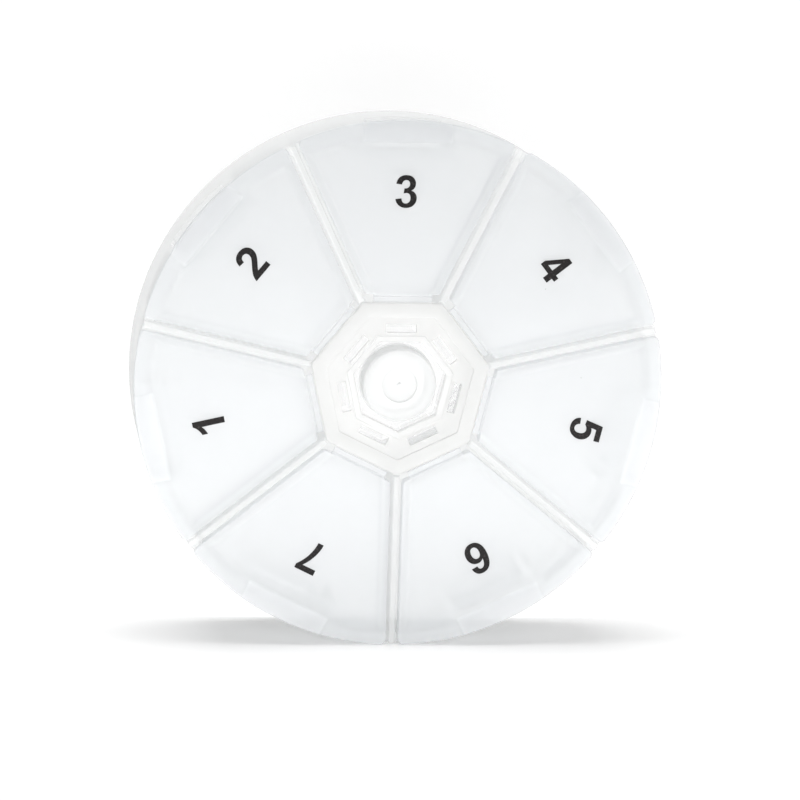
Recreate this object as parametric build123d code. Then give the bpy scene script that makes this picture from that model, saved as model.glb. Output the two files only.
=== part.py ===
from build123d import *
from math import cos, pi, sin, sqrt, tan
import os

# Round seven-day pill box of natural polypropylene, lying flat with its lids up.
# Two mouldings make it: a tray of seven compartments, and a hub that carries the seven
# lids on film hinges and snaps into the middle of the tray with seven hooks.
# Z = 0 is the tray's underside, the Z axis is the axis of the hub, and lid 3 points along +Y.

# Whole box, in millimetres
COMPARTMENTS = 7
BOX_DIAMETER = 90.0          # over the lids
BOX_HEIGHT = 22.0            # to the top of the lids
TOP_COMPARTMENT = 3          # this one points along +Y

# Tray
WALL = 1.2
FLOOR = 1.3
DIVIDER = 1.1                # at the top of a divider
DRAFT = 0.5                  # degrees, on every deep wall
RIM_OVERHANG = 0.3           # the lids reach past the tray's wall by this
FOOT_BEVEL = 0.9             # under edge
CORNER_RADIUS = 1.0          # upright corners of a compartment
FLOOR_BEVEL = 0.7            # between the walls and floor of a compartment
DIVIDER_DROP = 0.2           # top of a divider below the top of the lids
DIVIDER_EDGE = 0.2           # bevel of a divider's top edges

# Finger pocket in the wall under each lid
POCKET_WIDTH = 14.0
POCKET_DEPTH = 4.8           # from the wall inwards
POCKET_HEIGHT = 7.7          # from the top of the wall down
POCKET_TAPER = 4.0           # degrees

# Hub of the tray
HUB_WALL_FLATS = 26.6        # across flats, outside
HUB_PLATE_DROP = 3.2         # from the top of the wall down to the hub plate
POST_DIAMETER = 12.5
POST_BEVEL = 0.3
POST_DROP = 0.1              # top of the post below the top of the lids
DIMPLE_DIAMETER = 5.9
DIMPLE_DEPTH = 0.6
GATE_DIAMETER = 0.7
GATE_HEIGHT = 0.35

# Hub moulding
FLANGE_OVERHANG = 0.75       # beyond each flat of the hub wall
FLANGE_CORNER = 0.8
FLANGE_BORDER = 2.45         # round the sunk panel
HUB_EDGE = 0.2               # bevel of the flange's and the lip's top edges
PANEL_DEPTH = 0.35
POST_CLEARANCE = 1.05        # post to the flats of the hole
LIP_WALL = 1.1
SKIRT_CLEARANCE = 0.4        # skirt above the hub plate
WINDOW_LENGTH = 5.2
WINDOW_WIDTH = 1.44
WINDOW_OFFSET = 0.51         # from the lip outwards
HOOK_LENGTH = 5.0
HOOK_THICKNESS = 1.0
HOOK_REACH = 1.2             # the barb beyond its stem
HOOK_LEAD = 1.6              # sloping part of the barb
HOOK_CLEARANCE = 0.1         # barb below the hub plate
SLOT_FIT = 0.3               # slot round a hook, at its ends
SLOT_BITE = 0.8              # the barb catches the plate by this

# Film hinges
HINGE_LENGTH = 10.0
FILM_WIDTH = 0.6             # between its two flex lines
FILM_THICKNESS = 0.4
FILM_DEPTH = 0.3             # middle of the film below the top of the lids
FLEX_FIT = 0.02              # round the rounded edges of the film
FLEX_ANGLE = 45.0            # degrees that each flex line bends
HUB_TAB = 0.35               # flange to the inner flex line
LID_TAB = 0.5                # outer flex line to the lid's edge

# Lids
LID_THICKNESS = 1.2
LID_SEAT = 0.1               # air under a closed lid
LID_GAP = 2.1                # between two lids
LID_OUTER_CORNER = 0.9
LID_INNER_CORNER = 0.5
LID_EDGE = 0.2               # bevel of the top edge
RIB_WIDTH = 1.2
RIB_HEIGHT = 1.8
RIB_INSET = 0.1              # rib inside the lid's own edge
RIB_FIT = 0.3                # rib to the tray's wall
TONGUE_THICKNESS = 1.2
TONGUE_HEIGHT = 2.6
TONGUE_INSET = 0.7           # tongue inside the lid's rim
TONGUE_FIT = 0.15            # tongue to the sides of the pocket

# Worked out from the sizes above
HALF_ANGLE = pi / COMPARTMENTS
BOX_RADIUS = BOX_DIAMETER / 2
TRAY_RADIUS = BOX_RADIUS - RIM_OVERHANG
LID_UNDERSIDE = BOX_HEIGHT - LID_THICKNESS
WALL_TOP = LID_UNDERSIDE - LID_SEAT
HUB_WALL_OUTER = HUB_WALL_FLATS / 2
HUB_WALL_INNER = HUB_WALL_OUTER - WALL
FLANGE_FLATS = HUB_WALL_FLATS + 2 * FLANGE_OVERHANG
PANEL_FLATS = FLANGE_FLATS - 2 * FLANGE_BORDER
HOLE_FLATS = POST_DIAMETER + 2 * POST_CLEARANCE
LIP_FLATS = HOLE_FLATS + 2 * LIP_WALL
WINDOW_RADIUS = LIP_FLATS / 2 + WINDOW_OFFSET + WINDOW_WIDTH / 2
HUB_PLATE_TOP = WALL_TOP - HUB_PLATE_DROP
HUB_PLATE_UNDER = HUB_PLATE_TOP - WALL
POCKET_BACK = TRAY_RADIUS - POCKET_DEPTH
POCKET_FLOOR = WALL_TOP - POCKET_HEIGHT
SWELL_BACK = POCKET_BACK - WALL
SWELL_WIDTH = POCKET_WIDTH + 2 * WALL
FLEX_HEIGHT = BOX_HEIGHT - FILM_DEPTH
INNER_FLEX = FLANGE_FLATS / 2 + HUB_TAB
OUTER_FLEX = INNER_FLEX + FILM_WIDTH
LID_INNER = OUTER_FLEX + LID_TAB
FLEX_SPACE = FILM_THICKNESS / 2 + FLEX_FIT


def taper_over(length, degrees=DRAFT):
    """How far a drafted wall leans over a length."""
    return length * tan(degrees * pi / 180)


def turned(shape, number):
    """A shape built along +X, turned to the middle of its compartment."""
    step = 360 / COMPARTMENTS
    return Rot(0, 0, 90 + (TOP_COMPARTMENT - number) * step) * shape


def all_round(shape):
    """One copy of a shape built along +X for each compartment."""
    return [turned(shape, number) for number in range(1, COMPARTMENTS + 1)]


def block(x, y, z):
    """A box from its ranges along X, Y and Z."""
    size = Box(x[1] - x[0], y[1] - y[0], z[1] - z[0], align=(Align.MIN, Align.MIN, Align.MIN))
    return Pos(x[0], y[0], z[0]) * size


def heptagon(flats, corner=0.0):
    """A regular polygon with a flat facing each lid, drawn in the XY plane."""
    radius = flats / 2 / cos(HALF_ANGLE)
    first = pi / 2 + HALF_ANGLE
    angles = [first + 2 * HALF_ANGLE * n for n in range(COMPARTMENTS)]
    face = Polygon(*[(radius * cos(a), radius * sin(a)) for a in angles], align=None)
    return fillet(face.vertices(), corner) if corner else face


def prism(face, bottom, top):
    """A face in the XY plane made a solid between two heights."""
    return extrude(Pos(0, 0, bottom) * face, top - bottom)


def bevelled_top(shape, size):
    """A shape with the edges of its highest face bevelled."""
    return chamfer(shape.faces().sort_by(Axis.Z)[-1].edges(), size)


def wedge(inner, outer, side):
    """One compartment's outline along +X: flat inside, round outside, sides beside the dividers."""
    slope = tan(HALF_ANGLE)
    far = outer * 1.5

    def half_width(x):
        return x * slope - side / cos(HALF_ANGLE)

    points = [(inner, -half_width(inner)), (far, -half_width(far))]
    points += [(far, half_width(far)), (inner, half_width(inner))]
    return Polygon(*points, align=None) & (Rot(0, 0, 180) * Circle(outer))


def strip_of_plane(x, half_width):
    """A rectangle in the XY plane, across the X axis."""
    return Pos((x[0] + x[1]) / 2, 0) * Rectangle(x[1] - x[0], 2 * half_width)


def compartment():
    """The hollow of one compartment, with the swelling round the finger pocket left standing."""
    outline = wedge(HUB_WALL_OUTER, TRAY_RADIUS - WALL, DIVIDER / 2)
    outline = fillet(outline.vertices(), CORNER_RADIUS)
    outline -= strip_of_plane((SWELL_BACK, BOX_RADIUS), SWELL_WIDTH / 2)
    hollow = extrude(Pos(0, 0, WALL_TOP) * outline, FLOOR - WALL_TOP, taper=DRAFT)
    return chamfer(hollow.faces().sort_by(Axis.Z)[0].edges(), FLOOR_BEVEL)


def finger_pocket():
    """The space a fingertip uses to lift the lid, cut from outside and above."""
    mouth = strip_of_plane((POCKET_BACK, BOX_RADIUS + POCKET_DEPTH), POCKET_WIDTH / 2)
    return extrude(Pos(0, 0, WALL_TOP) * mouth, -POCKET_HEIGHT, taper=POCKET_TAPER)


def core_under_pocket():
    """The hollow below a finger pocket, open underneath, that keeps the walls even."""
    outline = strip_of_plane((POCKET_BACK, BOX_RADIUS), POCKET_WIDTH / 2 - WALL / 2)
    outer = TRAY_RADIUS - taper_over(WALL_TOP) - WALL
    return extrude(outline & (Rot(0, 0, 180) * Circle(outer)), POCKET_FLOOR - WALL, taper=DRAFT)


def divider_top():
    """The rib of a divider that stands up between two lids."""
    start = FLANGE_FLATS / 2 / cos(HALF_ANGLE) + LID_SEAT
    reach = (start, sqrt(TRAY_RADIUS**2 - (DIVIDER / 2) ** 2))
    rib = block(reach, (-DIVIDER / 2, DIVIDER / 2), (WALL_TOP - WALL, BOX_HEIGHT - DIVIDER_DROP))
    return Rot(0, 0, 180 / COMPARTMENTS) * bevelled_top(rib, DIVIDER_EDGE)


def hook_stem():
    """Radial range of a hook's stem, which hangs from the hub's skirt."""
    outer = WINDOW_RADIUS - WINDOW_WIDTH / 2
    return outer - HOOK_THICKNESS, outer


def hook_slot():
    """The slot in the hub plate that one hook snaps through."""
    inner, outer = hook_stem()
    catch = outer + HOOK_REACH - SLOT_BITE
    half_length = HOOK_LENGTH / 2 + SLOT_FIT
    return block((inner - HOOK_REACH + SLOT_FIT, catch), (-half_length, half_length),
                 (HUB_PLATE_UNDER - WALL, HUB_PLATE_TOP + WALL))


def post():
    """The hollow post in the middle of the tray, with the gate mark in its dimple."""
    top = BOX_HEIGHT - POST_DROP
    tube = prism(Circle(POST_DIAMETER / 2), HUB_PLATE_UNDER, top)
    tube = bevelled_top(tube, POST_BEVEL)
    tube -= prism(Circle(POST_DIAMETER / 2 - WALL), 0, top - DIMPLE_DEPTH - WALL)
    tube -= prism(Circle(DIMPLE_DIAMETER / 2), top - DIMPLE_DEPTH, top)
    return tube + prism(Circle(GATE_DIAMETER / 2), top - DIMPLE_DEPTH, top - DIMPLE_DEPTH + GATE_HEIGHT)


def base_tray():
    """The lower moulding: wall, floor, dividers, pockets and the socket for the hub."""
    foot = TRAY_RADIUS - taper_over(WALL_TOP)
    body = Cone(foot, TRAY_RADIUS, WALL_TOP, align=(Align.CENTER, Align.CENTER, Align.MIN))
    body = chamfer(body.faces().sort_by(Axis.Z)[0].edges(), FOOT_BEVEL)
    well = heptagon(2 * HUB_WALL_INNER, CORNER_RADIUS)
    body -= prism(well, HUB_PLATE_TOP, WALL_TOP)
    body -= prism(well, 0, HUB_PLATE_UNDER)
    body -= prism(Circle(POST_DIAMETER / 2 - WALL), 0, HUB_PLATE_TOP)
    body -= all_round(compartment())
    body -= all_round(finger_pocket())
    body -= all_round(core_under_pocket())
    body -= all_round(hook_slot())
    body += post()
    return body + all_round(divider_top())


def flex_space(radius, side):
    """Room round one flex line: a groove for the film's edge, opened upwards as far as it bends.
    side is -1 for the moulding on the hub's side of the line and 1 for the lid's."""
    reach = 2 * FILM_DEPTH
    lean = reach * tan(FLEX_ANGLE * pi / 180)
    up = [(0, 0), (side * lean, reach), (-side * reach, reach), (-side * reach, 0)]
    outline = Polygon(*up, align=None) + Circle(FLEX_SPACE)
    across = Plane((radius, 0, FLEX_HEIGHT), x_dir=(1, 0, 0), z_dir=(0, -1, 0))
    return extrude(across * outline, HINGE_LENGTH, both=True)


def hub_tab():
    """The short tongue of the flange that one film starts from."""
    tab = block((HUB_WALL_OUTER, INNER_FLEX), (-HINGE_LENGTH / 2, HINGE_LENGTH / 2),
                (WALL_TOP, BOX_HEIGHT))
    return tab - flex_space(INNER_FLEX, -1)


def hook():
    """A hook: a flat stem down through the hub plate, and a barb that catches under it."""
    inner, outer = hook_stem()
    barb_top = HUB_PLATE_UNDER - HOOK_CLEARANCE
    tip = barb_top - WALL / 2 - HOOK_LEAD
    side = [(inner, tip), (outer, tip), (outer + HOOK_REACH, tip + HOOK_LEAD)]
    side += [(outer + HOOK_REACH, barb_top), (outer, barb_top)]
    side += [(outer, BOX_HEIGHT - PANEL_DEPTH), (inner, BOX_HEIGHT - PANEL_DEPTH)]
    across = Plane((0, 0, 0), x_dir=(1, 0, 0), z_dir=(0, -1, 0))
    return extrude(across * Polygon(*side, align=None), HOOK_LENGTH / 2, both=True)


def hub_cap():
    """The hub of the lid moulding: flange, sunk panel, lip, skirt, windows and hooks."""
    body = bevelled_top(prism(heptagon(FLANGE_FLATS, FLANGE_CORNER), WALL_TOP, BOX_HEIGHT), HUB_EDGE)
    body -= prism(heptagon(PANEL_FLATS), BOX_HEIGHT - PANEL_DEPTH, BOX_HEIGHT)
    body += bevelled_top(prism(heptagon(LIP_FLATS), HUB_PLATE_TOP + SKIRT_CLEARANCE, BOX_HEIGHT), HUB_EDGE)
    body += all_round(hub_tab())
    half = WINDOW_WIDTH / 2
    window = block((WINDOW_RADIUS - half, WINDOW_RADIUS + half), (-WINDOW_LENGTH / 2, WINDOW_LENGTH / 2),
                   (WALL_TOP - WALL, BOX_HEIGHT))
    body -= all_round(window)
    body += all_round(hook())
    return body - prism(heptagon(HOLE_FLATS), 0, BOX_HEIGHT)


def film():
    """One film hinge between its two flex lines, with rounded edges on the lines."""
    middle = Plane(((INNER_FLEX + OUTER_FLEX) / 2, 0, FLEX_HEIGHT), x_dir=(1, 0, 0), z_dir=(0, -1, 0))
    section = SlotCenterToCenter(FILM_WIDTH, FILM_THICKNESS)
    return extrude(middle * section, HINGE_LENGTH / 2, both=True)


def lid_rib():
    """The rib under a lid's edge that drops inside the compartment, open at the finger pocket."""
    side = LID_GAP / 2 + RIB_INSET
    inner = LID_INNER + RIB_INSET
    outer = TRAY_RADIUS - WALL - RIB_FIT
    ring = wedge(inner, outer, side)
    ring -= wedge(inner + RIB_WIDTH, outer - RIB_WIDTH, side + RIB_WIDTH)
    ring -= strip_of_plane((SWELL_BACK - WALL, BOX_RADIUS), SWELL_WIDTH / 2 + CORNER_RADIUS)
    return prism(ring, LID_UNDERSIDE - RIB_HEIGHT, LID_UNDERSIDE)


def lid_tongue():
    """The curved tongue in the pocket's mouth that a fingertip lifts the lid by."""
    outer = BOX_RADIUS - TONGUE_INSET
    narrowing = taper_over(TONGUE_HEIGHT, POCKET_TAPER)
    band = Circle(outer) - Circle(outer - TONGUE_THICKNESS)
    band &= strip_of_plane((POCKET_BACK, BOX_RADIUS), POCKET_WIDTH / 2 - narrowing - TONGUE_FIT)
    return prism(band, LID_UNDERSIDE - TONGUE_HEIGHT, LID_UNDERSIDE)


def lid():
    """One lid, built along +X: plate, hinge tab, rib and tongue."""
    outline = wedge(LID_INNER, BOX_RADIUS, LID_GAP / 2)
    outline = fillet(outline.vertices().sort_by(Axis.X)[-2:], LID_OUTER_CORNER)
    outline = fillet(outline.vertices().sort_by(Axis.X)[:2], LID_INNER_CORNER)
    plate = prism(outline, LID_UNDERSIDE, BOX_HEIGHT)
    plate = bevelled_top(plate, LID_EDGE)
    tab = block((OUTER_FLEX, LID_INNER + LID_TAB), (-HINGE_LENGTH / 2, HINGE_LENGTH / 2),
                (LID_UNDERSIDE, BOX_HEIGHT))
    return plate + (tab - flex_space(OUTER_FLEX, 1)) + lid_rib() + lid_tongue()


def main():
    """Builds every piece and writes one STEP file for each."""
    pieces = {"base_tray": base_tray(), "hub_cap": hub_cap()}
    one_lid = lid()
    one_film = film()
    for number in range(1, COMPARTMENTS + 1):
        pieces[f"lid_{number}"] = turned(one_lid, number)
        pieces[f"hinge_film_{number}"] = turned(one_film, number)
    os.makedirs("parts", exist_ok=True)
    for name, shape in pieces.items():
        export_step(shape, f"parts/{name}.step")


main()
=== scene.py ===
"""Round seven-day pill box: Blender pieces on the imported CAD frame, in metres.

Two mouldings of natural polypropylene: a tray with a compartment for each day, and a hub
with seven lids on film hinges. Each lid is printed with its number.
"""
from math import asin, atan2, cos, pi, radians, sin, sqrt

import bmesh
import bpy
from mathutils import Matrix, Vector


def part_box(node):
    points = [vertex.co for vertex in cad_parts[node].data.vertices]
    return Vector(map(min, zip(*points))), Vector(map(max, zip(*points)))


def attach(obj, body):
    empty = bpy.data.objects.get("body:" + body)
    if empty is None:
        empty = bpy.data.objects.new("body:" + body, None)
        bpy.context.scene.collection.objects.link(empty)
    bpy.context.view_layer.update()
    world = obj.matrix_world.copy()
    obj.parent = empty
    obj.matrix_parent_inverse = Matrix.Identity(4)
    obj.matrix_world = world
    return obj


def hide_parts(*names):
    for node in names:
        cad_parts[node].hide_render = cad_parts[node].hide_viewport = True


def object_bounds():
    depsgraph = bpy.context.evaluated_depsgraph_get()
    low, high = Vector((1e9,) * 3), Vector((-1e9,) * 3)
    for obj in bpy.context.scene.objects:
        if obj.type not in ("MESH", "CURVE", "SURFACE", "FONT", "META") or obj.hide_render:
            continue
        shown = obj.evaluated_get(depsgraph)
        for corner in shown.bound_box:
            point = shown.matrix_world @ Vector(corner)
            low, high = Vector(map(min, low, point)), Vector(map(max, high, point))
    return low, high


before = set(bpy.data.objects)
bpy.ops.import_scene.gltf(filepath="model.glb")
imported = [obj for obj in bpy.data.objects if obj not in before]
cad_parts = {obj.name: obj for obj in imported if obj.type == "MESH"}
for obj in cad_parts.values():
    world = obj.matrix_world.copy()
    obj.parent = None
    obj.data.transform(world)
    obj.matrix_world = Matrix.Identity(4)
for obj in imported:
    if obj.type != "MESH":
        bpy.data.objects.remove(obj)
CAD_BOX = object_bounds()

bl_info = {
    "name": "Round Pill Box",
    "version": (1, 0, 0),
    "blender": (4, 5, 0),
    "location": "View3D > Sidebar > Pill Box",
    "description": "Tray, film-hinged lids and printed numbers of a round pill box",
    "category": "Add Mesh",
}

MM = 0.001
LIDS = 7
TOP_LID = 3
HALF_PITCH = pi / LIDS
LID_TOP = CAD_BOX[1].z
RIM_RADIUS = CAD_BOX[1].y
LID_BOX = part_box("lid_3")
FILM_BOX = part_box("hinge_film_3")
HUB_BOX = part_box("hub_cap")
FILM_MIDDLE = (FILM_BOX[0].z + FILM_BOX[1].z) / 2
FILM_HALF_WIDTH = (FILM_BOX[1].x - FILM_BOX[0].x) / 2
FILM_GAP = 0.02 * MM  # between a film and the tab that it folds from
TAB_STEP = 0.01 * MM  # how far a tab's faces lie inside its plate's. At the hub's top it is half
LID_INNER = FILM_BOX[1].y + 0.3 * MM
RIB_TO_RIM = 1.8 * MM
HUB_PLATE_LOW = LID_TOP - 1.3 * MM
HUB_UNDER = HUB_PLATE_LOW + 0.02 * MM
POST_RADIUS = 6.3 * MM
HUB_WALL = 12 * MM, 14 * MM  # about how far from the axis its inside and its outside are

# Where a lid looks milky: along its sides where the plastic is thick over the rib, and at the rim
# and over the tongue partly painted light. A band is full up to the first distance from the side or
# from the rim, and has faded away at the second. The patch over the tongue starts at TONGUE_START
# from the hub's axis and reaches to the rim.
SIDE_BAND = 2.0 * MM, 2.9 * MM
RIM_BAND = 1.5 * MM, 4.0 * MM
TONGUE_START = 41.2 * MM
TONGUE_HALF_WIDTH = 7.6 * MM
SIDE_SHARE, RIM_SHARE, TONGUE_SHARE = 0.25, 0.35, 0.8


def bearing(number):
    """The direction that a lid points in, as an angle from +X."""
    return pi / 2 + (TOP_LID - number) * 2 * HALF_PITCH


# Settings: sizes in metres, colours as sRGB hex


class LidSettings(bpy.types.PropertyGroup):
    gap: bpy.props.FloatProperty(
        name="Gap", description="Between two lids",
        default=2.1 * MM, min=1.4 * MM, max=3 * MM, precision=4, unit="LENGTH")
    thickness: bpy.props.FloatProperty(
        name="Thickness", description="Plate of a lid",
        default=1.2 * MM, min=0.8 * MM, max=1.5 * MM, precision=4, unit="LENGTH")
    edge_round: bpy.props.FloatProperty(
        name="Edge round", description="Radius of the top edges of the lids and the hub",
        default=0.28 * MM, min=0.05 * MM, max=0.5 * MM, precision=5, unit="LENGTH")
    outer_corner: bpy.props.FloatProperty(
        name="Outer corner", description="Radius of a lid's corners at the rim",
        default=0.9 * MM, min=0.5 * MM, max=3 * MM, precision=4, unit="LENGTH")
    inner_corner: bpy.props.FloatProperty(
        name="Inner corner", description="Radius of a lid's corners at the hub",
        default=0.5 * MM, min=0.35 * MM, max=2 * MM, precision=4, unit="LENGTH")
    rib_width: bpy.props.FloatProperty(
        name="Rib width", description="Rib under the edge of a lid",
        default=1.2 * MM, min=0.6 * MM, max=2 * MM, precision=4, unit="LENGTH")
    rib_height: bpy.props.FloatProperty(
        name="Rib height", description="From a lid's underside down",
        default=1.8 * MM, min=0.5 * MM, max=2.5 * MM, precision=4, unit="LENGTH")


class HubSettings(bpy.types.PropertyGroup):
    flange_flats: bpy.props.FloatProperty(
        name="Flange", description="Across the flats of the flange",
        default=28.1 * MM, min=27 * MM, max=28.3 * MM, precision=4, unit="LENGTH")
    panel_flats: bpy.props.FloatProperty(
        name="Sunk panel", description="Across the flats of the sunk panel",
        default=23.2 * MM, min=21 * MM, max=26 * MM, precision=4, unit="LENGTH")
    panel_depth: bpy.props.FloatProperty(
        name="Panel depth", description="From the flange down to the panel",
        default=0.35 * MM, min=0.1 * MM, max=0.6 * MM, precision=5, unit="LENGTH")
    lip_flats: bpy.props.FloatProperty(
        name="Lip", description="Across the flats of the lip round the post",
        default=16.8 * MM, min=16.2 * MM, max=17.2 * MM, precision=4, unit="LENGTH")
    hole_flats: bpy.props.FloatProperty(
        name="Hole", description="Across the flats of the hole for the post",
        default=14.6 * MM, min=14 * MM, max=15 * MM, precision=4, unit="LENGTH")
    window_length: bpy.props.FloatProperty(
        name="Window length", description="Windows over the hooks",
        default=5.2 * MM, min=3 * MM, max=6 * MM, precision=4, unit="LENGTH")
    window_width: bpy.props.FloatProperty(
        name="Window width", description="Windows over the hooks",
        default=1.44 * MM, min=0.8 * MM, max=2 * MM, precision=4, unit="LENGTH")


class PrintSettings(bpy.types.PropertyGroup):
    cap_height: bpy.props.FloatProperty(
        name="Cap height", description="Height of a printed number",
        default=5.5 * MM, min=2 * MM, max=9 * MM, precision=4, unit="LENGTH")
    radius: bpy.props.FloatProperty(
        name="Radius", description="From the hub's axis to the middle of a number",
        default=33.0 * MM, min=22 * MM, max=38 * MM, precision=4, unit="LENGTH")
    ink_depth: bpy.props.FloatProperty(
        name="Ink depth", description="Thickness of the printed ink",
        default=0.03 * MM, min=0.005 * MM, max=0.1 * MM, precision=6, unit="LENGTH")
    ink_colour: bpy.props.StringProperty(
        name="Ink", description="sRGB colour of the ink", default="#141011")


class PlasticSettings(bpy.types.PropertyGroup):
    tray_colour: bpy.props.StringProperty(
        name="Tray", description="sRGB colour of the tray's plastic", default="#F8F9F9")
    # Painted shade: the post takes this darker grey instead of the tray's colour, so that it
    # renders dimmer.
    post_shade_colour: bpy.props.StringProperty(
        name="Post", description="sRGB colour of the tray's post", default="#EAEBEB")
    lid_colour: bpy.props.StringProperty(
        name="Lids", description="sRGB colour of the lids' thin plates", default="#EAECEE")
    # Partly painted light: the lids' rim band and tongue patch take this tone and the rim
    # milkiness. The films take this tone too.
    rim_colour: bpy.props.StringProperty(
        name="Rim", description="sRGB colour of the lids where they are thick", default="#E6E8EA")
    hub_colour: bpy.props.StringProperty(
        name="Hub", description="sRGB colour of the hub's thicker plastic", default="#E7E7E6")
    tray_body: bpy.props.FloatProperty(
        name="Tray milkiness", description="Share of light that one face of the tray holds back",
        default=0.3, min=0.05, max=1, subtype="FACTOR")
    post_body: bpy.props.FloatProperty(
        name="Post milkiness", description="Share of light that one face of the post holds back",
        default=0.42, min=0.05, max=1, subtype="FACTOR")
    lid_body: bpy.props.FloatProperty(
        name="Lid milkiness", description="Share of light that one face of a thin plate holds back",
        default=0.28, min=0.05, max=1, subtype="FACTOR")
    hub_body: bpy.props.FloatProperty(
        name="Hub milkiness",
        description="Share of light that one face of the hub's top holds back",
        default=0.38, min=0.05, max=1, subtype="FACTOR")
    rim_body: bpy.props.FloatProperty(
        name="Rim milkiness",
        description="Share of light that one face of a lid holds back at its rim",
        default=0.55, min=0.05, max=1, subtype="FACTOR")
    glow: bpy.props.FloatProperty(
        name="Glow", description="Share of each face that is lit by the light behind it",
        default=0.1, min=0, max=0.6, subtype="FACTOR")


class StageSettings(bpy.types.PropertyGroup):
    shadow_power: bpy.props.FloatProperty(
        name="Shadow lamp", description="Power of the lamp above that lights only the ledge",
        default=1.6, min=0, unit="POWER")
    key_power: bpy.props.FloatProperty(
        name="Key lamp", description="Power of the soft lamp above",
        default=4.2, min=0, unit="POWER")
    fill_power: bpy.props.FloatProperty(
        name="Fill lamp", description="Power of the lamp that lies on the ledge",
        default=0.27, min=0, unit="POWER")
    ambient: bpy.props.FloatProperty(
        name="Ambient", description="Strength of the even light from all sides",
        default=0.34, min=0)


# Materials


def srgb(text):
    """A hex sRGB colour as linear RGBA."""
    parts = [int(text[i:i + 2], 16) / 255 for i in (1, 3, 5)]
    linear = [c / 12.92 if c <= 0.04045 else ((c + 0.055) / 1.055) ** 2.4 for c in parts]
    return (*linear, 1.0)


def add(tree, kind, settings=None, **links):
    """Adds a node with its settings and its inputs. An input is a value, a socket to link, or a
    node whose first output in use is linked."""
    node = tree.nodes.new(kind)
    for key, value in (settings or {}).items():
        setattr(node, key, value)
    for key, value in links.items():
        numbered = key[0] == "_" and key[1:].isdigit()
        place = node.inputs[int(key[1:])] if numbered else node.inputs[key.replace("_", " ")]
        if isinstance(value, bpy.types.Node):
            value = next(socket for socket in value.outputs if socket.enabled)
        if isinstance(value, bpy.types.NodeSocket):
            tree.links.new(value, place)
        else:
            place.default_value = value
    return node


def new_material(name):
    """An empty node material and its tree."""
    material = bpy.data.materials.new(name)
    material.use_nodes = True
    material.node_tree.nodes.clear()
    return material, material.node_tree


def per_metre(size_mm):
    """The scale of a pattern whose features are this many millimetres apart."""
    return 1 / (size_mm * MM)


def patched(tree, *patches):
    """A mask of patches with soft edges, where the stronger of two holds. A patch is its share and
    its edges. An edge is a value, where the patch has faded away and where it is full."""
    whole = 0.0
    for share, *edges in patches:
        patch = share
        for value, none, full in edges:
            edge = add(tree, "ShaderNodeMapRange", {"interpolation_type": "SMOOTHSTEP"},
                       Value=value, From_Min=min(none, full), From_Max=max(none, full),
                       To_Min=float(none > full), To_Max=float(none < full))
            patch = add(tree, "ShaderNodeMath", {"operation": "MULTIPLY"}, _0=edge, _1=patch)
        whole = add(tree, "ShaderNodeMath", {"operation": "MAXIMUM"}, _0=patch, _1=whole)
    return whole


def from_axis(tree, place):
    """Distance from the hub's axis."""
    flat = add(tree, "ShaderNodeVectorMath", {"operation": "MULTIPLY"}, _0=place, _1=(1, 1, 0))
    return add(tree, "ShaderNodeVectorMath", {"operation": "LENGTH"}, _0=flat)


def lid_thickness_and_painted_light(tree, place):
    """Where a lid is drawn milkier, from 0 to 1: towards the rim, over the tongue, and a little
    along its two sides. Along the sides this follows the thick plastic over the rib. The band at
    the rim and the patch over the tongue are partly painted light: they stand in for light that
    passes through the rim and comes up off the finger pocket. All lids share one pattern, by the
    angle from a lid's middle line."""
    apart = add(tree, "ShaderNodeSeparateXYZ", Vector=place).outputs
    out = from_axis(tree, place)
    angle = add(tree, "ShaderNodeMath", {"operation": "ARCTAN2"}, _0=apart["X"], _1=apart["Y"])
    turned = add(tree, "ShaderNodeMath", {"operation": "WRAP"}, _0=angle, _1=HALF_PITCH,
                 _2=-HALF_PITCH)
    off = add(tree, "ShaderNodeMath", {"operation": "ABSOLUTE"}, _0=turned)
    to_side = add(tree, "ShaderNodeMath", {"operation": "SUBTRACT"}, _0=HALF_PITCH, _1=off)
    lengths = []
    for turn, operation in ((to_side, "SINE"), (off, "COSINE"), (off, "SINE")):
        ratio = add(tree, "ShaderNodeMath", {"operation": operation}, _0=turn)
        lengths.append(add(tree, "ShaderNodeMath", {"operation": "MULTIPLY"}, _0=ratio, _1=out))
    from_side, along, across = lengths
    soft = 0.4 * MM
    return patched(
        tree,
        (SIDE_SHARE, (from_side, SIDE_BAND[1], SIDE_BAND[0])),
        (RIM_SHARE, (out, RIM_RADIUS - RIM_BAND[1], RIM_RADIUS - RIM_BAND[0])),
        (TONGUE_SHARE, (along, TONGUE_START - soft, TONGUE_START + soft),
         (across, TONGUE_HALF_WIDTH + soft, TONGUE_HALF_WIDTH - soft)))


def post_shade_mask(tree, place):
    """Where the tray is painted darker, from 0 to 1: painted shade on its post, which takes a
    darker grey and more milkiness than the rest of the tray so that it renders dimmer.
    """
    out = from_axis(tree, place)
    return patched(tree, (1.0, (out, POST_RADIUS + 0.2 * MM, POST_RADIUS - 0.1 * MM)))


def cloudy(tree, place):
    """How much of its milkiness the plastic keeps. The hooks and the ring that they snap into are
    thin and clear: all that is below the hub's top and between the post and the hub wall."""
    out = from_axis(tree, place)
    height = add(tree, "ShaderNodeSeparateXYZ", Vector=place).outputs["Z"]
    thick = patched(
        tree,
        (1.0, (out, POST_RADIUS + 0.3 * MM, POST_RADIUS)),
        (1.0, (out, *HUB_WALL)),
        (1.0, (height, HUB_PLATE_LOW - 0.6 * MM, HUB_PLATE_LOW - 0.2 * MM)))
    clear = 0.15
    return add(tree, "ShaderNodeMapRange", Value=thick, To_Min=clear, To_Max=1.0)


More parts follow.
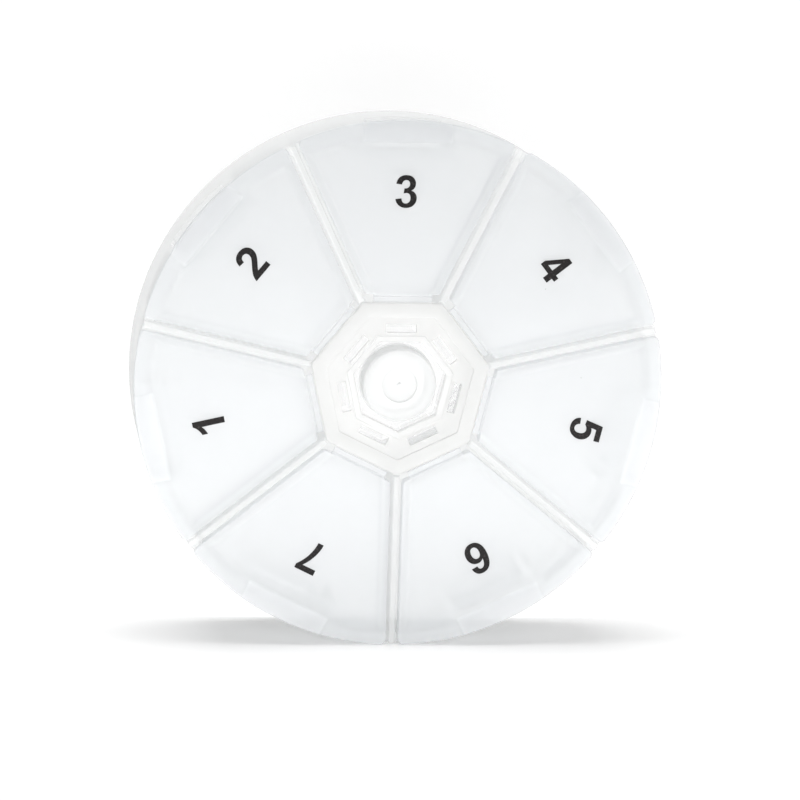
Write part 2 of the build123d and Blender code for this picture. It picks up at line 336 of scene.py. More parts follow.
def natural_polypropylene(name, colour, body, rounding=0.0, thick=None):
    """Natural polypropylene, injection moulded in a polished mould. It looks milky and see-through,
    with a satin gloss, faint flow marks from the gate at the hub, and a few dark specks in the
    melt. rounding is the edge radius that the mould leaves on a piece whose mesh has sharp edges.
    thick gives the mask of the milky places, and the colour and the milkiness there, which are
    partly painted light and shade."""
    material, tree = new_material(name)
    place = add(tree, "ShaderNodeTexCoord").outputs["Object"]
    cloud_size, speck_spacing, flow_length, ripple_size = 14, 9, 30, 2.5  # millimetres
    flow_marks = 260  # round one turn
    ior, duller = 1.49, 0.97
    cloud = add(tree, "ShaderNodeTexNoise", Vector=place, Scale=per_metre(cloud_size), Detail=3.0,
                Roughness=0.6)
    clean = srgb(colour)
    dull = (*(c * duller for c in clean[:3]), 1)
    milky = add(tree, "ShaderNodeMix", {"data_type": "RGBA"}, Factor=cloud, A=clean, B=dull)
    specks = add(tree, "ShaderNodeTexVoronoi", Vector=place, Scale=per_metre(speck_spacing))
    dark = add(tree, "ShaderNodeMapRange", Value=specks.outputs["Distance"],
               From_Min=0.006, From_Max=0.014, To_Min=0.65, To_Max=0.0)
    tone = add(tree, "ShaderNodeMix", {"data_type": "RGBA"}, Factor=dark, A=milky,
               B=srgb("#6E6A66"))
    held = body
    if thick:
        find, patch_colour, patch_body = thick
        mask = find(tree, place)
        # Painted light and shade where the mask holds: a second tone and more milkiness. On the
        # lids this is partly real thick plastic; on the tray's post it is painted shade only.
        tone = add(tree, "ShaderNodeMix", {"data_type": "RGBA"}, Factor=mask, A=tone,
                   B=srgb(patch_colour))
        held = add(tree, "ShaderNodeMapRange", Value=mask, To_Min=body, To_Max=patch_body)
    gloss = add(tree, "ShaderNodeMapRange", Value=cloud, To_Min=0.26, To_Max=0.36)
    flow = add(tree, "ShaderNodeTexGradient", {"gradient_type": "RADIAL"}, Vector=place)
    radius = add(tree, "ShaderNodeVectorMath", {"operation": "LENGTH"}, _0=place)
    marks = add(tree, "ShaderNodeCombineXYZ", X=flow.outputs["Fac"], Y=radius)
    stretch = add(tree, "ShaderNodeMapping", Vector=marks,
                  Scale=(flow_marks, per_metre(flow_length), 1))
    streaks = add(tree, "ShaderNodeTexNoise", Vector=stretch, Scale=1.0, Detail=2.0)
    ripple = add(tree, "ShaderNodeTexNoise", Vector=place, Scale=per_metre(ripple_size), Detail=2.0)
    relief = add(tree, "ShaderNodeMath", {"operation": "ADD"}, _0=streaks, _1=ripple)
    bump = add(tree, "ShaderNodeBump", Strength=0.05, Distance=0.05 * MM, Height=relief)
    if rounding:
        edge = add(tree, "ShaderNodeBevel", {"samples": 4}, Radius=rounding)
        tree.links.new(edge.outputs["Normal"], bump.inputs["Normal"])
    kept = cloudy(tree, place)
    alpha = add(tree, "ShaderNodeMath", {"operation": "MULTIPLY"}, _0=held, _1=kept)
    shader = add(tree, "ShaderNodeBsdfPrincipled", Base_Color=tone, IOR=ior, Roughness=gloss,
                 Alpha=alpha, Normal=bump)
    through = add(tree, "ShaderNodeBsdfTranslucent", Color=tone)
    glow = add(tree, "ShaderNodeMath", {"operation": "MULTIPLY"}, _0=kept,
               _1=bpy.context.scene.pillbox_plastic.glow)
    both = add(tree, "ShaderNodeMixShader", _0=glow, _1=shader, _2=through)
    add(tree, "ShaderNodeOutputMaterial", Surface=both)
    return material


def pad_printed_ink(name, colour):
    """Pad-printed ink: matt black, browner where the film of ink is thin."""
    material, tree = new_material(name)
    place = add(tree, "ShaderNodeTexCoord").outputs["Object"]
    grain_size = 0.45  # millimetres
    grain = add(tree, "ShaderNodeTexNoise", Vector=place, Scale=per_metre(grain_size), Detail=3.0)
    thin = add(tree, "ShaderNodeMapRange", Value=grain, From_Min=0.55, From_Max=0.95)
    worn = add(tree, "ShaderNodeMix", {"data_type": "RGBA"}, Factor=thin, A=srgb(colour),
               B=srgb("#4A4541"))
    shader = add(tree, "ShaderNodeBsdfPrincipled", Base_Color=worn, Roughness=0.6,
                 Specular_IOR_Level=0.25)
    add(tree, "ShaderNodeOutputMaterial", Surface=shader)
    return material


def camera_sees(tree):
    """1 for a ray from the camera and for one that plastic has let through, else 0."""
    path = add(tree, "ShaderNodeLightPath").outputs
    return add(tree, "ShaderNodeMath", {"operation": "MAXIMUM"}, _0=path["Is Camera Ray"],
               _1=path["Is Transmission Ray"])


def white_paper(name, shade, lift, stops_light):
    """Matt white paper, brought to plain white for the camera by a grey, shade, and a little light
    of its own, lift, so that only its shadow shows. It is seen from its front only, so that the
    object can be looked at from behind it. Where it stops no light, the object is lit from below
    too, as on a light table."""
    material, tree = new_material(name)
    seen = camera_sees(tree)
    tone = add(tree, "ShaderNodeMix", {"data_type": "RGBA"}, Factor=seen, A=srgb("#F8F8F8"),
               B=(shade, shade, shade, 1))
    paper = add(tree, "ShaderNodeBsdfDiffuse", Color=tone)
    strength = add(tree, "ShaderNodeMath", {"operation": "MULTIPLY"}, _0=seen, _1=lift)
    glow = add(tree, "ShaderNodeEmission", Color=(1, 1, 1, 1), Strength=strength)
    face = add(tree, "ShaderNodeAddShader", _0=paper, _1=glow)
    clear = add(tree, "ShaderNodeBsdfTransparent")
    hidden = add(tree, "ShaderNodeNewGeometry").outputs["Backfacing"]
    if not stops_light:
        from_camera = add(tree, "ShaderNodeLightPath").outputs["Is Camera Ray"]
        other = add(tree, "ShaderNodeMath", {"operation": "SUBTRACT"}, _0=1.0, _1=from_camera)
        hidden = add(tree, "ShaderNodeMath", {"operation": "MAXIMUM"}, _0=hidden, _1=other)
    both = add(tree, "ShaderNodeMixShader", _0=hidden, _1=face, _2=clear)
    add(tree, "ShaderNodeOutputMaterial", Surface=both)
    return material


# Meshes


def link(obj):
    bpy.context.scene.collection.objects.link(obj)
    return obj


def baked(obj, name):
    """The evaluated object as a new object with a plain mesh at the origin."""
    graph = bpy.context.evaluated_depsgraph_get()
    graph.update()
    mesh = bpy.data.meshes.new_from_object(obj.evaluated_get(graph))
    mesh.name = name
    return link(bpy.data.objects.new(name, mesh))


def solid(name, rings, closed=False):
    """A closed mesh through rings of as many points each, with its ends filled or joined."""
    size, count = len(rings[0]), len(rings)
    faces = []
    for i in range(count if closed else count - 1):
        a, b = i * size, (i + 1) % count * size
        faces += [(a + j, a + (j + 1) % size, b + (j + 1) % size, b + j) for j in range(size)]
    if not closed:
        faces += [tuple(reversed(range(size))), tuple(range((count - 1) * size, count * size))]
    mesh = bpy.data.meshes.new(name)
    mesh.from_pydata([tuple(point) for ring in rings for point in ring], [], faces)
    work = bmesh.new()
    work.from_mesh(mesh)
    bmesh.ops.recalc_face_normals(work, faces=work.faces)
    work.to_mesh(mesh)
    work.free()
    return link(bpy.data.objects.new(name, mesh))


def bar(name, side, half_length):
    """A straight bar across the X axis from its side view, which is a list of (x, z)."""
    return solid(name, [[(x, y, z) for x, z in side] for y in (-half_length, half_length)])


def made_of(piece, material):
    """Gives a piece this material and no other."""
    piece.data.materials.clear()
    piece.data.materials.append(material)


def joined(base, parts, operation="UNION"):
    """The base with other closed meshes added or cut away. The others are used up."""
    for part in parts:
        step = base.modifiers.new("join", "BOOLEAN")
        step.operation = operation
        step.solver = "EXACT"
        step.object = part
    done = baked(base, base.name)
    for obj in (base, *parts):
        bpy.data.objects.remove(obj)
    return done


def crisp(piece, degrees=28):
    """Smooth shading that breaks at the real edges."""
    work = bmesh.new()
    work.from_mesh(piece.data)
    bmesh.ops.remove_doubles(work, verts=work.verts, dist=0.001 * MM)
    for face in work.faces:
        face.smooth = True
    for edge in work.edges:
        edge.smooth = len(edge.link_faces) == 2 and edge.calc_face_angle(0) < radians(degrees)
    work.to_mesh(piece.data)
    work.free()
    return piece


def arc(centre, radius, start, end, steps):
    """Points along an arc, both ends included."""
    turns = [start + (end - start) * n / steps for n in range(steps + 1)]
    return [(centre[0] + radius * cos(t), centre[1] + radius * sin(t)) for t in turns]


def wedge(inner, outer, side, inner_corner, outer_corner):
    """A lid's outline along +X: straight inside, round outside, its sides beside the dividers."""
    lean_out = pi / 2 + HALF_PITCH
    x = inner + inner_corner
    y = (sin(HALF_PITCH) * x - side - inner_corner) / cos(HALF_PITCH)
    half = arc((x, y), inner_corner, pi, lean_out, 5)
    off, reach = side + outer_corner, outer - outer_corner
    along = sqrt(reach ** 2 - off ** 2)
    corner = (cos(HALF_PITCH) * along + sin(HALF_PITCH) * off,
              sin(HALF_PITCH) * along - cos(HALF_PITCH) * off)
    turn = atan2(corner[1], corner[0])
    half += arc(corner, outer_corner, lean_out, turn, 7)
    half += arc((0, 0), outer, turn, 0, 16)[1:]
    return half + [(x, -y) for x, y in reversed(half[:-1])]


def heptagon(flats, corner):
    """A seven-sided outline with rounded corners, a flat facing each lid."""
    far = flats / 2 / cos(HALF_PITCH) - corner / cos(HALF_PITCH)
    points = []
    for number in range(LIDS, 0, -1):
        middle = bearing(number) + HALF_PITCH
        points += arc((far * cos(middle), far * sin(middle)), corner,
                      middle - HALF_PITCH, middle + HALF_PITCH, 5)
    return points


def raised(outline, z):
    return [(x, y, z) for x, y in outline]


def rounded_edge(radius, steps=4):
    """How far in and how far below the top each ring of a rounded top edge lies."""
    turns = [pi / 2 * n / steps for n in range(steps + 1)]
    return [(radius * (1 - cos(t)), radius * (1 - sin(t))) for t in turns]


def turned_copies_tree():
    """Geometry Nodes: copies of a piece turned about the hub's axis by equal steps."""
    tree = bpy.data.node_groups.new("turned copies", "GeometryNodeTree")
    face = tree.interface
    for name, kind, default in (("Piece", "NodeSocketObject", None), ("Count", "NodeSocketInt", 1),
                                ("First Angle", "NodeSocketFloat", 0.0),
                                ("Step Angle", "NodeSocketFloat", 2 * HALF_PITCH),
                                ("Material", "NodeSocketMaterial", None)):
        socket = face.new_socket(name, in_out="INPUT", socket_type=kind)
        if default is not None:
            socket.default_value = default
    face.new_socket("Geometry", in_out="OUTPUT", socket_type="NodeSocketGeometry")
    given = add(tree, "NodeGroupInput").outputs
    places = add(tree, "GeometryNodePoints", Count=given["Count"])
    index = add(tree, "GeometryNodeInputIndex")
    steps = add(tree, "ShaderNodeMath", {"operation": "MULTIPLY"}, _0=index, _1=given["Step Angle"])
    angle = add(tree, "ShaderNodeMath", {"operation": "ADD"}, _0=steps, _1=given["First Angle"])
    turn = add(tree, "ShaderNodeCombineXYZ", Z=angle)
    piece = add(tree, "GeometryNodeObjectInfo", Object=given["Piece"], As_Instance=True)
    copies = add(tree, "GeometryNodeInstanceOnPoints", Points=places,
                 Instance=piece.outputs["Geometry"], Rotation=turn)
    real = add(tree, "GeometryNodeRealizeInstances", Geometry=copies)
    painted = add(tree, "GeometryNodeSetMaterial", Geometry=real, Material=given["Material"])
    add(tree, "NodeGroupOutput", Geometry=painted)
    return tree


def turned_copies(piece, name, first, material, count=1):
    """A plain mesh of a piece's copies, turned about the hub's axis."""
    tree = bpy.data.node_groups.get("turned copies") or turned_copies_tree()
    holder = link(bpy.data.objects.new(name + "_copies", bpy.data.meshes.new(name)))
    modifier = holder.modifiers.new("copies", "NODES")
    modifier.node_group = tree
    given = {"Piece": piece, "Count": count, "First Angle": first, "Material": material}
    for socket in tree.interface.items_tree:
        if socket.name in given and given[socket.name] is not None:
            modifier[socket.identifier] = given[socket.name]
    done = baked(holder, name)
    bpy.data.objects.remove(holder)
    return done


def lid_prototype(size):
    """One lid along +X: rounded plate, hinge tab, rib and tongue, in one closed mesh."""
    under = LID_TOP - size.thickness
    sink = under + size.thickness / 3  # ribs and tongue reach up to here, inside the plate

    def outline(inset):
        return wedge(LID_INNER + inset, RIM_RADIUS - inset, size.gap / 2 + inset,
                     size.inner_corner - inset, size.outer_corner - inset)

    chamfer = 0.05 * MM
    rings = [raised(outline(chamfer), under), raised(outline(0), under + chamfer)]
    rings += [raised(outline(i), LID_TOP - d) for i, d in rounded_edge(size.edge_round)]
    plate = solid("lid_plate", rings)

    inset, corner, inside_corner = 0.1 * MM, 0.8 * MM, 0.3 * MM
    inner, outer, side = LID_INNER + inset, RIM_RADIUS - RIB_TO_RIM, size.gap / 2 + inset
    around = wedge(inner, outer, side, corner, corner)
    within = wedge(inner + size.rib_width, outer - size.rib_width, side + size.rib_width,
                   inside_corner, inside_corner)
    foot = under - size.rib_height
    rib = solid("lid_rib", [raised(around, foot), raised(around, sink), raised(within, sink),
                            raised(within, foot)], closed=True)
    pocket_start, pocket_half = 37.5 * MM, 9.2 * MM  # the rib leaves room for the finger pocket
    opening = bar("rib_opening", [(pocket_start, foot - MM), (RIM_RADIUS, foot - MM),
                                  (RIM_RADIUS, LID_TOP), (pocket_start, LID_TOP)], pocket_half)
    rib = joined(rib, [opening], "DIFFERENCE")

    reach, wall, half, steps = RIM_RADIUS - 0.7 * MM, 1.2 * MM, 6.65 * MM, 12
    outer_chamfer, inner_chamfer = 0.2 * MM, 0.3 * MM
    edge = asin(half / reach)
    low = LID_BOX[0].z
    section = [(reach, sink), (reach, low + outer_chamfer), (reach - outer_chamfer, low),
               (reach - wall + inner_chamfer, low), (reach - wall, low + inner_chamfer),
               (reach - wall, sink)]
    turns = [-edge + 2 * edge * n / steps for n in range(steps + 1)]
    tongue = solid("lid_tongue", [[(r * cos(t), r * sin(t), z) for r, z in section] for t in turns])

    tab, groove = 0.6 * MM, 0.35 * MM
    flex, into = FILM_BOX[1].y + FILM_GAP, LID_INNER + tab
    low, high = under + TAB_STEP, LID_TOP - TAB_STEP
    hinge = bar("lid_tab", [(flex, low), (into, low), (into, high), (flex + groove, high),
                            (flex, FILM_MIDDLE)], FILM_HALF_WIDTH)
    return crisp(joined(plate, [rib, tongue, hinge]))


def hub_sector_parts(size):
    """The cutter of one window, one hook with its stem, and one hinge tab, all along +X."""
    panel = LID_TOP - size.panel_depth
    near = size.lip_flats / 2 + 0.51 * MM
    far = near + size.window_width
    window = bar("hub_window", [(near, HUB_PLATE_LOW - MM), (far, HUB_PLATE_LOW - MM),
                                (far, LID_TOP + MM), (near, LID_TOP + MM)], size.window_length / 2)
    tip = HUB_BOX[0].z
    stem, reach, lead, ledge, half = 1.0 * MM, 1.2 * MM, 1.6 * MM, 0.6 * MM, 2.5 * MM
    face = near - 0.01 * MM
    root = panel - 0.3 * MM
    side = [(near - stem, tip), (face, tip), (near + reach, tip + lead),
            (near + reach, tip + lead + ledge), (face, tip + lead + ledge), (face, root),
            (near - stem, root)]
    hook = bar("hub_hook", side, half)
    back, slope = size.flange_flats / 2 - 0.6 * MM, 0.3 * MM
    flex = FILM_BOX[0].y - FILM_GAP
    low, high = HUB_UNDER + TAB_STEP, LID_TOP - TAB_STEP / 2
    tab = bar("hub_tab", [(back, low), (flex, low), (flex, FILM_MIDDLE), (flex - slope, high),
                          (back, high)], FILM_HALF_WIDTH)
    return window, hook, tab


def hub_mesh(size, edge):
    """The hub: flange, sunk panel and lip swept round seven sides, with windows, hooks and tabs."""
    panel = LID_TOP - size.panel_depth
    skirt = HUB_BOX[0].z + 3.9 * MM
    # Half the distance across the flats, and the corner radius, of each outline
    flange, flange_corner = size.flange_flats / 2, 0.8 * MM
    sunk, sunk_corner = size.panel_flats / 2, 0.6 * MM
    lip, lip_corner = size.lip_flats / 2, 0.45 * MM
    hole, hole_corner = size.hole_flats / 2, 0.3 * MM
    inside_edge, lip_edge = rounded_edge(0.12 * MM, 3), rounded_edge(0.18 * MM, 3)
    profile = [(flange, HUB_UNDER, flange_corner)]
    profile += [(flange - i, LID_TOP - d, flange_corner - i) for i, d in rounded_edge(edge)]
    profile += [(sunk + i, LID_TOP - d, sunk_corner + i) for i, d in reversed(inside_edge)]
    profile += [(sunk, panel, sunk_corner), (lip, panel, lip_corner)]
    profile += [(lip - i, LID_TOP - d, lip_corner - i / 2) for i, d in lip_edge]
    profile += [(hole + i, LID_TOP - d, hole_corner + i) for i, d in reversed(inside_edge)]
    profile += [(hole, skirt, hole_corner), (lip, skirt, lip_corner), (lip, HUB_UNDER, lip_corner)]
    body = solid("hub_body", [raised(heptagon(2 * a, c), z) for a, z, c in profile], closed=True)
    window, hook, tab = hub_sector_parts(size)
    first = bearing(LIDS)
    cutters = turned_copies(window, "hub_windows", first, None, LIDS)
    hooks = turned_copies(hook, "hub_hooks", first, None, LIDS)
    tabs = turned_copies(tab, "hub_tabs", first, None, LIDS)
    for part in (window, hook, tab):
        bpy.data.objects.remove(part)
    return crisp(joined(joined(body, [cutters], "DIFFERENCE"), [hooks, tabs]))


# A number's outlines: a start point, then straight runs (x, y) or curves (x1, y1, x2, y2, x, y).
NUMBERS = {
    1: [[(0.53, 0), (0.338, 0), (0.338, 0.725), (0.268, 0.66, 0.185, 0.61, 0.09, 0.579),
         (0.09, 0.753), (0.14, 0.77, 0.194, 0.8, 0.253, 0.846),
         (0.312, 0.892, 0.352, 0.94, 0.374, 1), (0.53, 1)]],
    2: [[(0.68, 0.175), (0.68, 0), (0.02, 0), (0.027, 0.065, 0.05, 0.125, 0.085, 0.185),
         (0.12, 0.245, 0.19, 0.32, 0.295, 0.42), (0.38, 0.5, 0.43, 0.553, 0.45, 0.583),
         (0.475, 0.62, 0.487, 0.66, 0.487, 0.697), (0.487, 0.74, 0.476, 0.773, 0.453, 0.796),
         (0.43, 0.819, 0.398, 0.83, 0.358, 0.83), (0.318, 0.83, 0.287, 0.818, 0.263, 0.794),
         (0.24, 0.77, 0.226, 0.73, 0.222, 0.675), (0.035, 0.693),
         (0.046, 0.8, 0.082, 0.877, 0.143, 0.926), (0.203, 0.975, 0.278, 1, 0.369, 1),
         (0.468, 1, 0.546, 0.973, 0.602, 0.92), (0.659, 0.866, 0.687, 0.8, 0.687, 0.72),
         (0.687, 0.675, 0.679, 0.632, 0.663, 0.59), (0.647, 0.55, 0.62, 0.507, 0.585, 0.463),
         (0.56, 0.43, 0.518, 0.387, 0.458, 0.332), (0.397, 0.277, 0.359, 0.24, 0.343, 0.222),
         (0.327, 0.204, 0.314, 0.19, 0.304, 0.175)]],
    3: [[(0.03, 0.26), (0.045, 0.175, 0.08, 0.11, 0.14, 0.062),
         (0.2, 0.013, 0.27, -0.01, 0.355, -0.01), (0.455, -0.01, 0.535, 0.018, 0.597, 0.078),
         (0.657, 0.137, 0.688, 0.21, 0.688, 0.295), (0.688, 0.35, 0.672, 0.4, 0.641, 0.441),
         (0.61, 0.483, 0.567, 0.51, 0.512, 0.521), (0.605, 0.57, 0.65, 0.64, 0.65, 0.735),
         (0.65, 0.8, 0.63, 0.855, 0.588, 0.905), (0.536, 0.968, 0.458, 1, 0.36, 1),
         (0.305, 1, 0.253, 0.99, 0.207, 0.968), (0.162, 0.947, 0.127, 0.918, 0.101, 0.88),
         (0.076, 0.843, 0.057, 0.793, 0.045, 0.73), (0.222, 0.706),
         (0.229, 0.752, 0.245, 0.787, 0.269, 0.811), (0.292, 0.835, 0.322, 0.847, 0.356, 0.847),
         (0.391, 0.847, 0.418, 0.836, 0.439, 0.814), (0.46, 0.792, 0.47, 0.763, 0.47, 0.726),
         (0.47, 0.684, 0.456, 0.65, 0.428, 0.625), (0.4, 0.6, 0.358, 0.588, 0.301, 0.589),
         (0.28, 0.432), (0.316, 0.442, 0.347, 0.448, 0.372, 0.448),
         (0.413, 0.448, 0.444, 0.433, 0.465, 0.402), (0.485, 0.371, 0.495, 0.333, 0.495, 0.29),
         (0.495, 0.24, 0.481, 0.2, 0.453, 0.171), (0.425, 0.142, 0.391, 0.127, 0.35, 0.127),
         (0.316, 0.127, 0.286, 0.139, 0.262, 0.163), (0.238, 0.187, 0.223, 0.222, 0.218, 0.283)]],
    4: [[(0.4, 0), (0.595, 0), (0.595, 0.2), (0.715, 0.2), (0.715, 0.367), (0.595, 0.367),
         (0.595, 1), (0.426, 1), (0.015, 0.367), (0.015, 0.2), (0.4, 0.2)],
        [(0.4, 0.367), (0.186, 0.367), (0.4, 0.705)]],
    5: [[(0.22, 0.28), (0.225, 0.235, 0.241, 0.197, 0.267, 0.171),
         (0.293, 0.144, 0.323, 0.131, 0.357, 0.131), (0.396, 0.131, 0.43, 0.147, 0.457, 0.179),
         (0.484, 0.211, 0.498, 0.26, 0.498, 0.325), (0.498, 0.386, 0.484, 0.432, 0.457, 0.463),
         (0.43, 0.493, 0.394, 0.508, 0.35, 0.508), (0.295, 0.508, 0.246, 0.484, 0.203, 0.436),
         (0.05, 0.458), (0.147, 1), (0.648, 1), (0.648, 0.82), (0.292, 0.82), (0.262, 0.653),
         (0.304, 0.674, 0.347, 0.685, 0.391, 0.685), (0.475, 0.685, 0.546, 0.654, 0.604, 0.593),
         (0.662, 0.532, 0.691, 0.452, 0.691, 0.355), (0.691, 0.273, 0.667, 0.2, 0.62, 0.136),
         (0.555, 0.04, 0.465, -0.01, 0.35, -0.01), (0.258, -0.01, 0.183, 0.015, 0.125, 0.064),
         (0.067, 0.113, 0.035, 0.18, 0.03, 0.26)]],
    6: [[(0.663, 0.756), (0.643, 0.845, 0.605, 0.905, 0.56, 0.945),
         (0.515, 0.985, 0.455, 1, 0.385, 1), (0.275, 1, 0.185, 0.957, 0.12, 0.875),
         (0.055, 0.79, 0.02, 0.665, 0.02, 0.49), (0.02, 0.33, 0.052, 0.205, 0.117, 0.12),
         (0.18, 0.03, 0.265, -0.01, 0.37, -0.01), (0.465, -0.01, 0.54, 0.02, 0.6, 0.085),
         (0.66, 0.15, 0.69, 0.23, 0.69, 0.33), (0.69, 0.43, 0.66, 0.51, 0.605, 0.57),
         (0.55, 0.63, 0.48, 0.66, 0.4, 0.66), (0.325, 0.66, 0.265, 0.63, 0.215, 0.575),
         (0.22, 0.68, 0.237, 0.75, 0.265, 0.79), (0.295, 0.83, 0.335, 0.85, 0.38, 0.85),
         (0.43, 0.85, 0.46, 0.815, 0.468, 0.735)],
        [(0.498, 0.32), (0.498, 0.385, 0.484, 0.434, 0.456, 0.467),
         (0.43, 0.5, 0.4, 0.515, 0.363, 0.515), (0.326, 0.515, 0.295, 0.5, 0.27, 0.47),
         (0.245, 0.44, 0.233, 0.398, 0.233, 0.342), (0.233, 0.28, 0.247, 0.228, 0.274, 0.19),
         (0.3, 0.153, 0.333, 0.135, 0.371, 0.135), (0.407, 0.135, 0.437, 0.15, 0.461, 0.18),
         (0.486, 0.21, 0.498, 0.256, 0.498, 0.32)]],
    7: [[(0.035, 0.822), (0.035, 1), (0.683, 1), (0.683, 0.861),
         (0.63, 0.808, 0.575, 0.733, 0.52, 0.635), (0.464, 0.537, 0.422, 0.432, 0.393, 0.321),
         (0.363, 0.21, 0.349, 0.103, 0.349, 0), (0.167, 0), (0.17, 0.14, 0.2, 0.283, 0.257, 0.429),
         (0.313, 0.575, 0.389, 0.706, 0.484, 0.822)]],
}


def outline_points(outline, steps=8):
    """A number's outline as points, with its curves divided."""
    points = [Vector(outline[0])]
    for run in outline[1:]:
        if len(run) == 2:
            points.append(Vector(run))
            continue
        a, b, c, d = points[-1], Vector(run[:2]), Vector(run[2:4]), Vector(run[4:])
        for n in range(1, steps + 1):
            t = n / steps
            u = 1 - t
            points.append(a * u ** 3 + b * 3 * t * u ** 2 + c * 3 * t * t * u + d * t ** 3)
    if (points[0] - points[-1]).length < 1e-6:
        points.pop()
    return points


def printed_number(number, name, material):
    """One number as a thin film of ink, centred on its lid with its top towards the rim."""
    set_up = bpy.context.scene.pillbox_print
    curve = bpy.data.curves.new(name + "_outline", "CURVE")
    curve.dimensions = "2D"
    curve.fill_mode = "BOTH"
    outlines = [outline_points(o) for o in NUMBERS[number]]
    wide = [p.x for p in outlines[0]]
    middle = Vector(((min(wide) + max(wide)) / 2, 0.5))
    for points in outlines:
        spline = curve.splines.new("POLY")
        spline.points.add(len(points) - 1)
        spline.use_cyclic_u = True
        for place, point in zip(spline.points, points):
            place.co = (*((point - middle) * set_up.cap_height), 0, 1)
    curve.extrude = set_up.ink_depth / 2
    draft = link(bpy.data.objects.new(name + "_draft", curve))
    piece = baked(draft, name)
    bpy.data.objects.remove(draft)
    turn = Matrix.Rotation(bearing(number) - pi / 2, 4, "Z")
    shift = Matrix.Translation((0, set_up.radius, LID_TOP + set_up.ink_depth / 2))
    piece.data.transform(turn @ shift)
    made_of(piece, material)
    return crisp(piece)


# Operators


class PILLBOX_OT_tray(bpy.types.Operator):
    """Tray moulding with its compartments, finger pockets and post"""
    bl_idname = "pillbox.tray"
    bl_label = "Tray"

    def execute(self, context):
        look = context.scene.pillbox_plastic
        # The post takes a darker grey: painted shade.
        plastic = natural_polypropylene(
            "natural polypropylene tray", look.tray_colour, look.tray_body, rounding=0.15 * MM,
            thick=(post_shade_mask, look.post_shade_colour, look.post_body))
        made_of(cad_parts["base_tray"], plastic)
        return {"FINISHED"}


class PILLBOX_OT_hub(bpy.types.Operator):
    """Hub of the upper moulding, with the film hinges"""
    bl_idname = "pillbox.hub"
    bl_label = "Hub"

    def execute(self, context):
        scene = context.scene
        look = scene.pillbox_plastic
        plastic = natural_polypropylene("natural polypropylene hub", look.hub_colour, look.hub_body)
        hub = hub_mesh(scene.pillbox_hub, scene.pillbox_lid.edge_round)
        hub.name = "hub_moulding"
        made_of(hub, plastic)
        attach(hub, "tray")
        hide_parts("hub_cap")
        film = natural_polypropylene("flexed polypropylene film", look.rim_colour, look.lid_body,
                                     rounding=0.1 * MM)
        for number in range(1, LIDS + 1):
            made_of(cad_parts[f"hinge_film_{number}"], film)
        return {"FINISHED"}


class PILLBOX_OT_lids(bpy.types.Operator):
    """Seven lids of the upper moulding"""
    bl_idname = "pillbox.lids"
    bl_label = "Lids"

    def execute(self, context):
        look, size = context.scene.pillbox_plastic, context.scene.pillbox_lid
        # The lids' rim band and tongue patch are partly painted light.
        plastic = natural_polypropylene(
            "natural polypropylene lids", look.lid_colour, look.lid_body,
            thick=(lid_thickness_and_painted_light, look.rim_colour, look.rim_body))
        pattern = lid_prototype(size)
        for number in range(1, LIDS + 1):
            lid = turned_copies(pattern, f"lid_moulding_{number}", bearing(number), plastic)
            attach(lid, f"lid_{number}")
            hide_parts(f"lid_{number}")
        bpy.data.objects.remove(pattern)
        return {"FINISHED"}


class PILLBOX_OT_numbers(bpy.types.Operator):
    """Printed numbers on the lids"""
    bl_idname = "pillbox.numbers"
    bl_label = "Numbers"

    def execute(self, context):
        ink = pad_printed_ink("pad-printed black ink", context.scene.pillbox_print.ink_colour)
        for number in NUMBERS:
            piece = printed_number(number, f"printed_number_{number}", ink)
            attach(piece, f"lid_{number}")
        return {"FINISHED"}


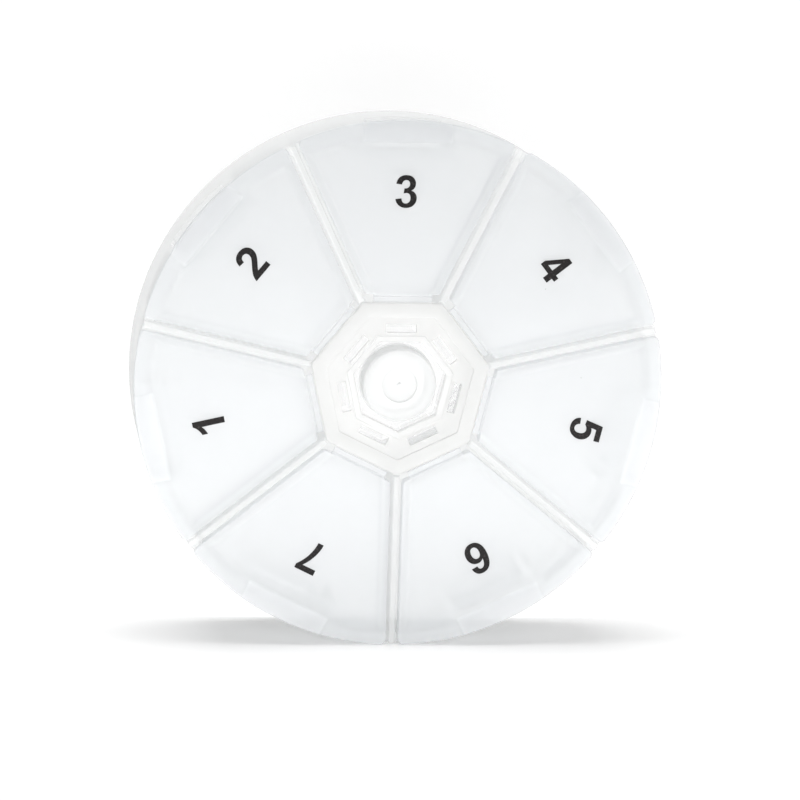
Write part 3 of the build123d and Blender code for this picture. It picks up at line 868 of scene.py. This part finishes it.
class PILLBOX_OT_stage(bpy.types.Operator):
    """White sweep, soft light and the camera"""
    bl_idname = "pillbox.stage"
    bl_label = "Stage"

    def execute(self, context):
        scene = context.scene
        set_up = scene.pillbox_stage
        scene.view_settings.view_transform = "Standard"
        scene.cycles.transparent_max_bounces = 32
        ledge = self.sweep()
        self.world(scene, set_up)
        self.lamp("shadow lamp", set_up.shadow_power, size=(0.9, 0.5), place=(0.3, 0.9, -0.13),
                  only=ledge)
        self.lamp("key lamp", set_up.key_power, size=(0.6, 0.5), place=(-0.08, 0.75, -0.03))
        self.lamp("fill lamp", set_up.fill_power, size=(0.3, 0.1), place=(0, -0.044, 0.09))
        self.camera(scene)
        return {"FINISHED"}

    def sweep(self):
        """A floor under the box, and a ledge that its rim stands on."""
        reach = 2
        floor = bpy.data.meshes.new("floor")
        floor.from_pydata([(-reach, -reach, 0), (reach, -reach, 0), (reach, reach, 0),
                           (-reach, reach, 0)], [], [(0, 1, 2, 3)])
        floor.materials.append(
            white_paper("white paper floor", shade=0.2, lift=0.86, stops_light=False))
        half, height, below = 0.5, 0.4, CAD_BOX[0].y - 0.1 * MM
        ledge = bpy.data.meshes.new("ledge")
        ledge.from_pydata([(-half, below, 0), (half, below, 0), (half, below, height),
                           (-half, below, height)], [], [(0, 3, 2, 1)])
        ledge.materials.append(
            white_paper("white paper ledge", shade=0.94, lift=0.1, stops_light=True))
        for mesh in (floor, ledge):
            sheet = link(bpy.data.objects.new(mesh.name, mesh))
        return sheet

    def world(self, scene, set_up):
        """Even light from all sides, seen as plain white."""
        world = bpy.data.worlds.new("white room")
        scene.world = world
        world.use_nodes = True
        tree = world.node_tree
        tree.nodes.clear()
        strength = add(tree, "ShaderNodeMapRange", Value=camera_sees(tree), To_Min=set_up.ambient,
                       To_Max=1.0)
        glow = add(tree, "ShaderNodeBackground", Color=(1, 1, 1, 1), Strength=strength)
        add(tree, "ShaderNodeOutputWorld", Surface=glow)

    def lamp(self, name, power, size, place, only=None):
        """A soft rectangular lamp that points at the box, hidden from the camera. It may light one
        object only."""
        target = Vector((0, 0, 0.02))
        lamp = bpy.data.lights.new(name, "AREA")
        lamp.shape = "RECTANGLE"
        lamp.size, lamp.size_y = size
        lamp.energy = power
        stand = link(bpy.data.objects.new(name, lamp))
        stand.location = place
        stand.rotation_euler = (target - stand.location).to_track_quat("-Z", "Y").to_euler()
        stand.visible_camera = False
        if only:
            lit = bpy.data.collections.new("lit by the " + name)
            lit.objects.link(only)
            stand.light_linking.receiver_collection = lit

    def camera(self, scene):
        """Almost square on to the lids, from a little above and to the left of the standing box."""
        side, rise, roll = radians(7.6), radians(9.45), radians(1.85)
        distance, sensor = 690, 36  # millimetres
        picture, lift = 800, 14.6  # pixels: the picture's width, and the hub above its middle
        pixels_per_mm = 5.914  # at the lids' top
        back = Vector((-sin(side) * cos(rise), sin(rise), cos(side) * cos(rise)))
        right = Vector((0, 1, 0)).cross(back).normalized()
        up = back.cross(right)
        right, up = right * cos(roll) + up * sin(roll), up * cos(roll) - right * sin(roll)
        data = bpy.data.cameras.new("camera")
        data.sensor_width = sensor
        data.lens = sensor * pixels_per_mm * distance / picture
        data.clip_start, data.clip_end = 0.01, 10
        camera = link(bpy.data.objects.new("camera", data))
        camera.matrix_world = Matrix((right, up, back)).transposed().to_4x4()
        offset = back * distance - up * (lift / pixels_per_mm)
        camera.location = Vector((0, 0, LID_TOP)) + offset * MM
        scene.camera = camera


class PILLBOX_PT_panel(bpy.types.Panel):
    """Pill box tools in the sidebar"""
    bl_idname = "PILLBOX_PT_panel"
    bl_label = "Pill Box"
    bl_space_type = "VIEW_3D"
    bl_region_type = "UI"
    bl_category = "Pill Box"

    def draw(self, context):
        for name, kind in GROUPS.items():
            box = self.layout.box()
            for size in kind.__annotations__:
                box.prop(getattr(context.scene, name), size)
        for operator in OPERATORS:
            self.layout.operator(operator.bl_idname)


OPERATORS = (PILLBOX_OT_tray, PILLBOX_OT_hub, PILLBOX_OT_lids, PILLBOX_OT_numbers, PILLBOX_OT_stage)
GROUPS = {
    "pillbox_lid": LidSettings,
    "pillbox_hub": HubSettings,
    "pillbox_plastic": PlasticSettings,
    "pillbox_print": PrintSettings,
    "pillbox_stage": StageSettings,
}


def register():
    for kind in (*GROUPS.values(), *OPERATORS, PILLBOX_PT_panel):
        bpy.utils.register_class(kind)
    for name, kind in GROUPS.items():
        setattr(bpy.types.Scene, name, bpy.props.PointerProperty(type=kind))


def unregister():
    for name in GROUPS:
        delattr(bpy.types.Scene, name)
    for kind in (PILLBOX_PT_panel, *reversed(OPERATORS), *reversed(GROUPS.values())):
        bpy.utils.unregister_class(kind)


def main():
    """Makes every piece and the stage."""
    register()
    bpy.ops.pillbox.tray()
    bpy.ops.pillbox.hub()
    bpy.ops.pillbox.lids()
    bpy.ops.pillbox.numbers()
    bpy.ops.pillbox.stage()


if __name__ == "__main__":
    main()
